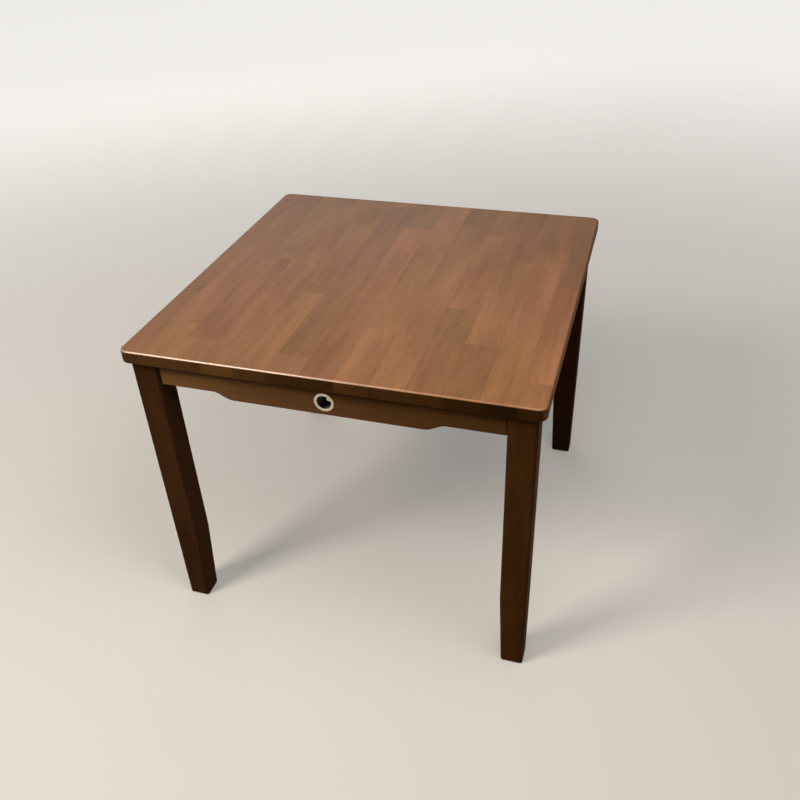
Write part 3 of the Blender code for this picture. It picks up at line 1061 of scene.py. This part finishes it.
@dataclass
class CordHole:
    """Ring with a key in the front apron, and the dark sleeve behind it."""

    sizes: Sizes
    metal: TurnedRing
    plastic: MouldedPlastic
    level: float
    diameter: float = 0.0290
    bore: float = 0.0208
    wall: float = 0.0020
    flange: float = 0.0020
    edge: float = 0.0005
    spigot: float = 0.0050
    seat_depth: float = 0.0012
    seat_gap: float = 0.0005
    key_height: float = 0.0036
    key_width: float = 0.0068
    key_length: float = 0.0030
    key_setback: float = 0.0008
    key_angle: float = math.radians(40.0)
    sleeve_flange_diameter: float = 0.0310
    sleeve_flange: float = 0.0020
    sides: int = 96
    edge_steps: int = 5
    key_steps: int = 20

    @property
    def spigot_radius(self) -> float:
        """Radius of the part of the ring and the sleeve inside the apron."""
        return self.bore / 2 + self.wall

    def seat_tool(self) -> Mesh:
        """Stepped cutter for the hole in the front apron.

        Returns:
            The mesh, in place.
        """
        wide, narrow = self.diameter / 2 + self.seat_gap, self.spigot_radius + self.sizes.gap
        reach = self.sizes.apron_thickness
        profile = [(0.0, -reach), (wide, -reach), (wide, 0.0), (narrow, 0.0), (narrow, reach), (0.0, reach)]
        floor = Vector((0.0, self.seat_depth - self.sizes.apron_outer, self.level))
        return placed(turned(profile, self.sides), floor, Vector((0.0, 1.0, 0.0)))

    def ring_mesh(self) -> Mesh:
        """Ring facing up Z, with its flange on the origin and its key inside.

        Returns:
            The mesh.
        """
        inner, outer, spigot = self.bore / 2, self.diameter / 2, self.spigot_radius
        rounds = [(inset, self.flange - depth) for inset, depth in eased(self.edge, self.edge_steps)]
        profile = [(inner, -self.spigot), (spigot, -self.spigot), (spigot, 0.0), (outer, 0.0)]
        profile += [(outer - inset, height) for inset, height in reversed(rounds)]
        profile += [(inner + inset, height) for inset, height in rounds]
        half = self.key_width / 2
        outline = [(inner + self.wall / 2, side * half) for side in (-1, 1)]
        for step in range(self.key_steps + 1):
            angle = (0.5 - step / self.key_steps) * math.pi
            outline.append((inner - self.key_height * math.cos(angle), half * math.sin(angle)))
        top = self.flange - self.key_setback
        key = lofted([[(x, y, level) for x, y in outline] for level in (top - self.key_length, top)])
        key.transform(Matrix.Rotation(self.key_angle, 4, "Z"))
        return combined(turned(profile, self.sides), [key], Boolean.JOIN)

    def sleeve_mesh(self) -> Mesh:
        """Sleeve behind the ring, with a flange against the back of the apron.

        Returns:
            The mesh, set out from the ring's flange as the ring is.
        """
        inner, outer, spigot = self.bore / 2, self.sleeve_flange_diameter / 2, self.spigot_radius
        front = -self.spigot - self.sizes.gap
        seat = self.seat_depth - self.sizes.apron_thickness - 2 * self.sizes.gap
        back = seat - self.sleeve_flange
        rounds = [(outer - inset, back + depth) for inset, depth in eased(self.edge, self.edge_steps)]
        profile = [(inner, back), *rounds, (outer, seat), (spigot, seat), (spigot, front), (inner, front)]
        return turned(profile, self.sides)

    def build(self) -> None:
        """Add the ring and the sleeve."""
        back = Vector((0.0, self.seat_depth - self.sizes.apron_outer - self.sizes.gap, self.level))
        ring, sleeve = (
            smoothed(placed(mesh, back, Vector((0.0, -1.0, 0.0))))
            for mesh in (self.ring_mesh(), self.sleeve_mesh())
        )
        add_piece("keyed_ring", ring, self.metal.material(), ["cord_ring"])
        add_piece("hole_sleeve", sleeve, self.plastic.material(), ["cord_sleeve"])


@dataclass
class Aprons:
    """Rails between the legs, whose lower edges drop in an S-curve to a deeper middle."""

    sizes: Sizes
    finishes: dict[Side, LacqueredWood]
    cord_hole: CordHole
    middle_height: float = 0.0494
    end_length: float = 0.0800
    curve_length: float = 0.0310
    edge_radius: float = 0.0020
    corner_radius: float = 0.0040
    corner_back_radius: float = 0.0010
    edge_steps: int = 6
    curve_steps: int = 24

    def section(self, inset: float, depth: float) -> list[Point]:
        """Outline of the front apron.

        Args:
            inset: Distance that its ends and lower edge are drawn in.
            depth: Distance behind its face.

        Returns:
            The points of the outline.
        """
        sizes = self.sizes
        length = sizes.leg_inner - sizes.gap
        half = length - inset
        end = sizes.frame_top - sizes.apron_end_height + inset
        drop = self.middle_height - sizes.apron_end_height
        growth = (self.corner_radius - self.corner_back_radius) * inset / self.edge_radius
        radius = self.corner_back_radius + growth
        lower = []
        for step in range(self.edge_steps + 1):
            angle = step / self.edge_steps * math.pi / 2
            lower.append((half - radius * (1.0 - math.cos(angle)), end + radius * (1.0 - math.sin(angle))))
        for step in range(self.curve_steps + 1):
            share = step / self.curve_steps
            x = length - self.end_length - share * self.curve_length
            lower.append((x, end - drop * (1.0 - math.cos(share * math.pi)) / 2))
        upper = [(half, sizes.frame_top), (-half, sizes.frame_top)]
        outline = [*upper, *((-x, z) for x, z in lower), *reversed(lower)]
        return [(x, depth - sizes.apron_outer, z) for x, z in outline]

    def mesh(self, side: Side) -> Mesh:
        """Apron drilled for its screws and, at the front, for the ring.

        Args:
            side: Side of the table.

        Returns:
            The mesh.
        """
        sizes = self.sizes
        sections = [self.section(inset, depth) for inset, depth in eased(self.edge_radius, self.edge_steps)]
        sections.append(self.section(0.0, sizes.apron_thickness))
        depth = sizes.apron_outer - sizes.screw_cover - sizes.bearing + sizes.gap
        tools = []
        for end in (-1, 1):
            start = Vector((end * sizes.screw_line, -sizes.bearing, sizes.bolt_level))
            tools.append(placed(rod(sizes.screw_hole, depth), start, Vector((0.0, -1.0, 0.0))))
        if side is Side.FRONT:
            tools.append(self.cord_hole.seat_tool())
        mesh = combined(lofted(sections), tools, Boolean.CUT)
        mesh.transform(side.turn)
        return smoothed(mesh)

    def build(self) -> None:
        """Add the four aprons."""
        for side in Side:
            material = self.finishes[side].material()
            add_piece(f"{side.label}_apron", self.mesh(side), material, [f"apron_{side.label}"])


class GeometryBoard(NodeBoard):
    """Geometry Nodes tree that puts one fastener on each of its points."""

    def __init__(self, name: str, sizes: dict[str, float]) -> None:
        """Make a tree with a named input for each size.

        Args:
            name: Name of the tree.
            sizes: Value of each input.
        """
        super().__init__(bpy.data.node_groups.new(name, "GeometryNodeTree"))
        face = self.tree.interface
        face.new_socket("Points", in_out="INPUT", socket_type="NodeSocketGeometry")
        face.new_socket("Mesh", in_out="OUTPUT", socket_type="NodeSocketGeometry")
        self.sizes = sizes
        self.keys = {
            size: face.new_socket(size, in_out="INPUT", socket_type="NodeSocketFloat").identifier
            for size in sizes
        }
        self.source = self.add("NodeGroupInput").outputs

    def inputs(self) -> list[NodeSocket]:
        """Sockets of the sizes, in their order."""
        return [self.source[size] for size in self.sizes]

    def index(self) -> NodeSocket:
        """Number of the point that a node works on."""
        return self.add("GeometryNodeInputIndex").outputs[0]

    def pick(self, values: Sequence[Value]) -> NodeSocket:
        """Value from a row, by the number of the point.

        Args:
            values: Values or sockets for the points in order.

        Returns:
            The value.
        """
        switch = self.add("GeometryNodeIndexSwitch", data_type="FLOAT")
        while len(switch.index_switch_items) < len(values):
            switch.index_switch_items.new()
        for socket, value in zip(switch.inputs, (self.index(), *values)):
            self.feed(socket, value)
        return switch.outputs[0]

    def circle(self, sides: int, radius: Value) -> NodeSocket:
        """Round curve about Z."""
        links = {"Resolution": sides, "Radius": radius}
        return self.add("GeometryNodeCurvePrimitiveCircle", links).outputs[0]

    def swept(self, count: Value, height: Value, radius: Value, sides: int) -> NodeSocket:
        """Solid swept up Z.

        Args:
            count: Number of stations.
            height: Height of each station.
            radius: Radius at each station.
            sides: Sides of the round.

        Returns:
            The closed mesh.
        """
        line = self.add("GeometryNodeMeshLine", {"Count": count, "Offset": UP}).outputs[0]
        links = {"Geometry": line, "Position": self.combine(0.0, 0.0, height)}
        raised = self.add("GeometryNodeSetPosition", links).outputs[0]
        curve = self.add("GeometryNodeMeshToCurve", {"Mesh": raised}).outputs[0]
        links = {"Curve": curve, "Profile Curve": self.circle(sides, 1.0), "Scale": radius, "Fill Caps": True}
        return self.add("GeometryNodeCurveToMesh", links).outputs[0]

    def lathe(self, stations: Sequence[tuple[Value, Value]], sides: int) -> NodeSocket:
        """Closed mesh turned about Z through stations of a height and a radius."""
        heights, radii = zip(*stations)
        return self.swept(len(stations), self.pick(heights), self.pick(radii), sides)

    def boolean(self, boolean: Boolean, first: NodeSocket, *others: NodeSocket) -> NodeSocket:
        """Mesh combined with others.

        Args:
            boolean: Way of combining them.
            first: The mesh.
            *others: The other meshes.

        Returns:
            The new mesh.
        """
        node = self.add("GeometryNodeMeshBoolean", operation=boolean.value, solver="EXACT")
        self.feed(node.inputs["Mesh 1" if boolean is Boolean.CUT else "Mesh 2"], first)
        for other in others:
            self.feed(node.inputs["Mesh 2"], other)
        return node.outputs[0]

    def moved(self, mesh: NodeSocket, height: Value) -> NodeSocket:
        """Mesh moved up Z."""
        links = {"Geometry": mesh, "Translation": self.combine(0.0, 0.0, height)}
        return self.add("GeometryNodeTransform", links).outputs[0]

    def prism(self, sides: int, radius: Value, depth: Value, middle: Value) -> NodeSocket:
        """Upright prism with its middle at a height."""
        links = {"Vertices": sides, "Radius": radius, "Depth": depth}
        return self.moved(self.add("GeometryNodeMeshCylinder", links).outputs[0], middle)

    def close(self, fastener: NodeSocket, material: Material) -> None:
        """Put the fastener on every point, along the point's axis, as real geometry.

        Args:
            fastener: Mesh that points up Z.
            material: Its finish.
        """
        links = {"Name": "axis"}
        axis = self.add("GeometryNodeInputNamedAttribute", links, data_type="FLOAT_VECTOR").outputs[0]
        turn = self.add("FunctionNodeAlignRotationToVector", {"Vector": axis}, axis="Z").outputs[0]
        links = {"Points": self.source["Points"], "Instance": fastener, "Rotation": turn}
        copies = self.add("GeometryNodeInstanceOnPoints", links).outputs[0]
        real = self.add("GeometryNodeRealizeInstances", {"Geometry": copies}).outputs[0]
        dressed = self.add("GeometryNodeSetMaterial", {"Geometry": real, "Material": material}).outputs[0]
        self.add("NodeGroupOutput", {"Mesh": dressed})


@dataclass
class CornerJoints:
    """Corner blocks with the bolts, nuts, washers and screws that hold the table together."""

    sizes: Sizes
    steel: Material
    block_wood: Material
    nodes: dict[str, Object] = field(repr=False)
    washer_radius: float = 0.009
    washer_thickness: float = 0.0016
    nut_across_flats: float = 0.013
    nut_height: float = 0.0065
    nut_chamfer: float = 0.0006
    nut_overcut: float = 0.0001
    nut_corner_share: float = 1.05
    bolt_tail: float = 0.004
    bolt_chamfer: float = 0.001
    bolt_point: float = 0.006
    bolt_tip_radius: float = 0.0002
    thread_pitch: float = 0.00125
    thread_depth: float = 0.00055
    thread_in_block: float = 0.004
    thread_past_flat: float = 0.002
    head_radius: float = 0.004
    head_height: float = 0.0025
    head_corner: float = 0.00002
    head_steps: Point = (1.0, 0.80, 0.45)
    shoulder_share: float = 0.54
    crown_radius: float = 0.0024
    screw_point: float = 0.005
    screw_tip_radius: float = 0.0001
    recess_width: float = 0.0009
    recess_depth: float = 0.0013
    recess_share: float = 1.7
    apron_seat: float = 0.008
    top_sink: float = 0.008
    rod_sides: int = 32
    ring_sides: int = 48

    @property
    def washer_back(self) -> float:
        """Distance of a washer's inner face from the middle, along the diagonal."""
        return self.sizes.block_back - self.sizes.gap - self.washer_thickness

    @property
    def nut_back(self) -> float:
        """Distance of a nut's inner face from the middle, along the diagonal."""
        return self.washer_back - self.sizes.gap - self.nut_height

    @property
    def bolt_end(self) -> float:
        """Distance of a bolt's inner end from the middle, along the diagonal."""
        return self.nut_back - self.bolt_tail

    def screw_tree(self) -> GeometryBoard:
        """Pan-head wood screw with a cross recess, its head seated on the point.

        Returns:
            The tree, whose length is still to be given.
        """
        board = GeometryBoard("pan_head_screw", {
            "Head Radius": self.head_radius, "Head Height": self.head_height, "Head Corner": self.head_corner,
            "Crown Radius": self.crown_radius, "Shank Radius": self.sizes.screw_radius, "Length": 0.0,
            "Point Length": self.screw_point, "Tip Radius": self.screw_tip_radius,
            "Recess Width": self.recess_width, "Recess Depth": self.recess_depth,
        })
        head, height, corner, crown, shank, length, point, tip, width, depth = board.inputs()
        top, shoulder, rim = (board.math("MULTIPLY", height, -step) for step in self.head_steps)
        between = board.math("MULTIPLY", board.math("ADD", crown, head), self.shoulder_share)
        stations = [
            (top, crown), (shoulder, between), (rim, head), (board.math("MULTIPLY", corner, -1.0), head),
            (0.0, shank), (board.math("SUBTRACT", length, point), shank), (length, tip),
        ]
        screw = board.lathe(stations, self.rod_sides)
        span = board.math("MULTIPLY", crown, self.recess_share)
        deep = board.math("MULTIPLY", depth, 2.0)
        bars = []
        for bar in ((span, width, deep), (width, span, deep)):
            cube = board.add("GeometryNodeMeshCube", {"Size": board.combine(*bar)}).outputs[0]
            bars.append(board.moved(cube, top))
        board.close(board.boolean(Boolean.CUT, screw, *bars), self.steel)
        return board

    def bolt_tree(self) -> GeometryBoard:
        """Hanger bolt from its machine end on the point to its wood-screw tip, plain in the middle.

        Returns:
            The tree.
        """
        board = GeometryBoard("hanger_bolt", {
            "Radius": self.sizes.bolt_radius, "Length": self.sizes.bolt_tip - self.bolt_end,
            "Thread Depth": self.thread_depth, "Thread Pitch": self.thread_pitch,
            "Plain Start": self.sizes.block_back + self.thread_in_block - self.bolt_end,
            "Plain End": self.sizes.flat_reach - self.thread_past_flat - self.bolt_end,
            "Chamfer": self.bolt_chamfer, "Point Length": self.bolt_point, "Tip Radius": self.bolt_tip_radius,
        })
        shank, length, depth, pitch, plain_start, plain_end, chamfer, point, tip = board.inputs()
        index = board.index()
        last = board.math("MULTIPLY", board.math("ROUND", board.math("DIVIDE", length, pitch)), 2.0)
        height = board.math("MULTIPLY", board.math("DIVIDE", index, last), length)
        past = board.math("GREATER_THAN", height, plain_start)
        before = board.math("LESS_THAN", height, plain_end)
        threaded = board.math("SUBTRACT", 1.0, board.math("MULTIPLY", past, before))
        groove = board.math("MULTIPLY", board.math("FLOORED_MODULO", index, 2.0), depth)
        thread = board.math("SUBTRACT", shank, board.math("MULTIPLY", groove, threaded))
        tail = board.math("ADD", board.math("SUBTRACT", shank, chamfer), height)
        left = board.math("DIVIDE", board.math("SUBTRACT", length, height), point)
        taper = board.math("MULTIPLY_ADD", left, shank, tip)
        radius = board.math("MINIMUM", thread, board.math("MINIMUM", tail, taper))
        count = board.math("ADD", last, 1.0)
        board.close(board.swept(count, height, radius, self.rod_sides), self.steel)
        return board

    def nut_tree(self) -> GeometryBoard:
        """Hexagon nut with chamfered corners, its lower face on the point.

        Returns:
            The tree.
        """
        board = GeometryBoard("hexagon_nut", {
            "Across Flats": self.nut_across_flats, "Height": self.nut_height,
            "Bore Radius": self.sizes.bolt_hole, "Chamfer": self.nut_chamfer, "Overcut": self.nut_overcut,
        })
        across, height, bore_radius, chamfer, overcut = board.inputs()
        flat, half = (board.math("DIVIDE", size, 2.0) for size in (across, height))
        reach = board.math("DIVIDE", across, math.sqrt(3.0))
        wide = board.math("MULTIPLY", reach, self.nut_corner_share)
        stations = [
            (board.math("MULTIPLY", overcut, -1.0), flat), (0.0, flat), (chamfer, wide),
            (board.math("SUBTRACT", height, chamfer), wide), (height, flat),
            (board.math("ADD", height, overcut), flat),
        ]
        hexagon = board.prism(6, reach, height, half)
        bore = board.prism(self.rod_sides, bore_radius, board.math("MULTIPLY", height, 2.0), half)
        nut = board.boolean(Boolean.COMMON, hexagon, board.lathe(stations, self.ring_sides))
        board.close(board.boolean(Boolean.CUT, nut, bore), self.steel)
        return board

    def washer_tree(self) -> GeometryBoard:
        """Flat washer, its lower face on the point.

        Returns:
            The tree.
        """
        board = GeometryBoard("flat_washer", {
            "Inner Radius": self.sizes.bolt_hole, "Outer Radius": self.washer_radius,
            "Thickness": self.washer_thickness,
        })
        inner, outer, thickness = board.inputs()
        middle = board.math("DIVIDE", board.math("ADD", inner, outer), 2.0)
        links = {"Width": board.math("SUBTRACT", outer, inner), "Height": thickness}
        band = board.add("GeometryNodeCurvePrimitiveQuadrilateral", links).outputs[0]
        links = {"Curve": board.circle(self.ring_sides, middle), "Profile Curve": band}
        ring = board.add("GeometryNodeCurveToMesh", links).outputs[0]
        board.close(board.moved(ring, board.math("DIVIDE", thickness, 2.0)), self.steel)
        return board

    def fasten(self, name: str, board: GeometryBoard, seats: Sequence[Seat], nodes: Sequence[str]) -> None:
        """Add one piece with a fastener on each seat of every corner.

        Args:
            name: Name of the piece.
            board: Tree of the fastener.
            seats: Place and direction of each fastener of the back right corner.
            nodes: Solids that the piece stands for.
        """
        turns = [(corner.turn @ place, corner.turn @ axis) for corner in Corner for place, axis in seats]
        points = bpy.data.meshes.new("seats")
        points.from_pydata([tuple(place) for place, _ in turns], [], [])
        axes = points.attributes.new("axis", "FLOAT_VECTOR", "POINT")
        for item, (_, axis) in zip(axes.data, turns):
            item.vector = axis
        obj = linked("seats", points)
        modifier = obj.modifiers.new(name, "NODES")
        modifier.node_group = board.tree
        for size, value in board.sizes.items():
            modifier[board.keys[size]] = value
        mesh = evaluated(obj)
        obj.modifiers.remove(modifier)
        bpy.data.objects.remove(obj)
        bm = bmesh.new()
        bm.from_mesh(mesh)
        bmesh.ops.remove_doubles(bm, verts=bm.verts, dist=MERGE_DISTANCE)
        add_piece(name, smoothed(mesh_of(bm, name)), self.steel, nodes)

    def build_bolts(self) -> None:
        """Add the bolts, washers and nuts."""
        for name, node, tree, distance in (
            ("leg_bolts", "hanger_bolt", self.bolt_tree(), self.bolt_end),
            ("leg_washers", "washer", self.washer_tree(), self.washer_back),
            ("leg_nuts", "nut", self.nut_tree(), self.nut_back),
        ):
            seat = (OUTWARD * distance + UP * self.sizes.bolt_level, OUTWARD)
            self.fasten(name, tree, [seat], [f"{node}_{corner.label}" for corner in Corner])

    def build_screws(self) -> None:
        """Add the screws into the aprons and into the top."""
        sizes, tree = self.sizes, self.screw_tree()
        start = sizes.bearing - self.apron_seat - sizes.gap
        into_aprons = [
            (Vector((sizes.screw_line, start, sizes.bolt_level)), Vector((0.0, 1.0, 0.0))),
            (Vector((start, sizes.screw_line, sizes.bolt_level)), Vector((1.0, 0.0, 0.0))),
        ]
        level = sizes.frame_top - sizes.block_height + self.top_sink - sizes.gap
        into_top = [(place + UP * level, UP) for place in sizes.top_screw_places()]
        for node, seats, length in (
            ("apron_screw", into_aprons, sizes.apron_outer - sizes.screw_cover - start),
            ("top_screw", into_top, sizes.height - sizes.screw_cover - level),
        ):
            tree.sizes["Length"] = length
            nodes = [f"{node}_{corner.label}_{number}" for corner in Corner for number in (1, 2)]
            self.fasten(f"{node}s", tree, seats, nodes)

    def build(self) -> None:
        """Dress the blocks and add the fasteners."""
        for corner in Corner:
            block = self.nodes[f"corner_block_{corner.label}"]
            for item in block.material_slots:
                item.material = self.block_wood
            LOG.info("%s: sawn wood on the solid", block.name)
        self.build_bolts()
        self.build_screws()


@dataclass(frozen=True)
class Softbox:
    """Rectangular lamp, with the radiance of its face."""

    name: str
    place: Point
    size: Span
    radiance: float
    colour: Colour

    def build(self, aim: Vector) -> None:
        """Add the lamp.

        Args:
            aim: Point that it faces.
        """
        lamp = bpy.data.lights.new(self.name, "AREA")
        lamp.shape = "RECTANGLE"
        lamp.size, lamp.size_y = self.size
        lamp.energy = self.radiance * math.pi * self.size[0] * self.size[1]
        lamp.color = self.colour
        obj = linked(self.name, lamp)
        obj.location = self.place
        obj.rotation_mode = "QUATERNION"
        obj.rotation_quaternion = (aim - Vector(self.place)).to_track_quat("-Z", "Y")
        obj.visible_camera = False


@dataclass
class Studio:
    """Pale floor, soft light and the camera."""

    sizes: Sizes
    floor: PaleFloor
    focal_pixels: float = 831.1
    picture_pixels: float = 800.0
    sensor: float = 36.0
    eye: Point = (0.3875, -1.1226, 0.5942)
    yaw: float = math.radians(18.449)
    pitch: float = math.radians(35.090)
    roll: float = math.radians(2.682)
    floor_reach: float = 30.0
    sky: float = 0.15
    sky_colour: Colour = (1.0, 0.96, 0.90)
    lamps: tuple[Softbox, ...] = (
        Softbox("main_softbox", (-1.05, -1.32, 1.80), (0.6, 0.6), 20.0, (1.0, 0.87, 0.71)),
        Softbox("fill_softbox", (0.35, -0.40, 1.25), (0.6, 0.6), 4.5, (1.0, 0.92, 0.81)),
        Softbox("wall_softbox", (-1.6, 2.7, 1.8), (2.6, 2.0), 0.7, (1.0, 0.99, 0.97)),
    )

    def build_floor(self) -> None:
        """Add the floor."""
        bm = bmesh.new()
        bmesh.ops.create_grid(bm, x_segments=1, y_segments=1, size=self.floor_reach)
        mesh = mesh_of(bm, "pale_floor")
        mesh.materials.append(self.floor.material())
        obj = linked("pale_floor", mesh)

    def build_camera(self) -> None:
        """Add the camera, with the eye's height counted from the top."""
        lens = bpy.data.cameras.new("camera")
        lens.sensor_width = self.sensor
        lens.lens = self.focal_pixels / self.picture_pixels * self.sensor
        lens.clip_end = 2 * self.floor_reach
        obj = linked("camera", lens)
        angles = ((self.yaw, "Z"), (math.pi / 2 - self.pitch, "X"), (-self.roll, "Z"))
        matrix = Matrix.Translation(Vector(self.eye) + UP * self.sizes.height)
        for angle, axis in angles:
            matrix @= Matrix.Rotation(angle, 4, axis)
        obj.matrix_world = matrix
        bpy.context.scene.camera = obj

    def build_light(self) -> None:
        """Add the lamps and a sky that is seen as pale as the far floor."""
        for lamp in self.lamps:
            lamp.build(UP * self.sizes.height)
        world = bpy.data.worlds.new("sky")
        world.use_nodes = True
        board = NodeBoard(world.node_tree)
        tone = board.blend(board.seen(), shaded(self.sky_colour, self.sky), self.floor.far_tone(self.sky))
        board.feed(world.node_tree.nodes["Background"].inputs["Color"], tone)
        bpy.context.scene.world = world

    def build(self) -> None:
        """Set the stage."""
        bpy.context.scene.view_settings.view_transform = "Standard"
        self.build_camera()
        self.build_floor()
        self.build_light()


def main() -> None:
    """Build the table around the frame."""
    logging.basicConfig(level=logging.INFO, format="%(name)s: %(message)s")
    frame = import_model()
    sizes = Sizes()
    Studio(sizes, PaleFloor("pale_floor")).build()
    Tabletop(sizes, StavedTop("staved_top", Grain.ALONG_Y)).build()

    # Each leg has a board tone of its own; the back right leg's darker tones are painted shade for its shadow
    # under the top, and the front right leg's lighter tones are partly painted light
    leg_tones_and_shade = {
        Corner.BACK_RIGHT: ((0.027, 0.0100, 0.0028), (0.057, 0.0220, 0.0070)),
        Corner.BACK_LEFT: ((0.042, 0.0165, 0.0046), (0.090, 0.0365, 0.0120)),
        Corner.FRONT_LEFT: ((0.043, 0.0175, 0.0062), (0.092, 0.0385, 0.0155)),
        Corner.FRONT_RIGHT: ((0.052, 0.0205, 0.0050), (0.112, 0.0450, 0.0125)),
    }
    Legs(sizes, {
        corner: LacqueredWood(f"{corner.label}_leg_wood", Grain.ALONG_Z, dark, light)
        for corner, (dark, light) in leg_tones_and_shade.items()
    }).build()

    tones = ((0.124, 0.0600, 0.0215), (0.235, 0.1170, 0.0470))
    # The front apron carries painted light falloff: lighter at the left end, darker at the right
    front_painted_falloff = ((1.22, 1.24, 1.30), (0.66, 0.60, 0.48))
    front_wood = LacqueredWood("front_apron_wood", Grain.ALONG_X, *tones, *front_painted_falloff)
    lengthwise = LacqueredWood("apron_wood_lengthwise", Grain.ALONG_X, *tones)
    crosswise = LacqueredWood("apron_wood_crosswise", Grain.ALONG_Y, *tones)
    low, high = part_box("cord_ring")
    level = (low.z + high.z) / 2
    metal = TurnedRing("turned_ring_metal", level, low.y)
    cord_hole = CordHole(sizes, metal, MouldedPlastic("black_sleeve_plastic"), level)
    finishes = {Side.FRONT: front_wood, Side.BACK: lengthwise, Side.LEFT: crosswise, Side.RIGHT: crosswise}
    Aprons(sizes, finishes, cord_hole).build()
    cord_hole.build()

    steel, block_wood = PlatedSteel("zinc_plating"), SawnWood("sawn_block_wood")
    CornerJoints(sizes, steel.material(), block_wood.material(), frame["nodes"]).build()


if __name__ == "__main__":
    main()
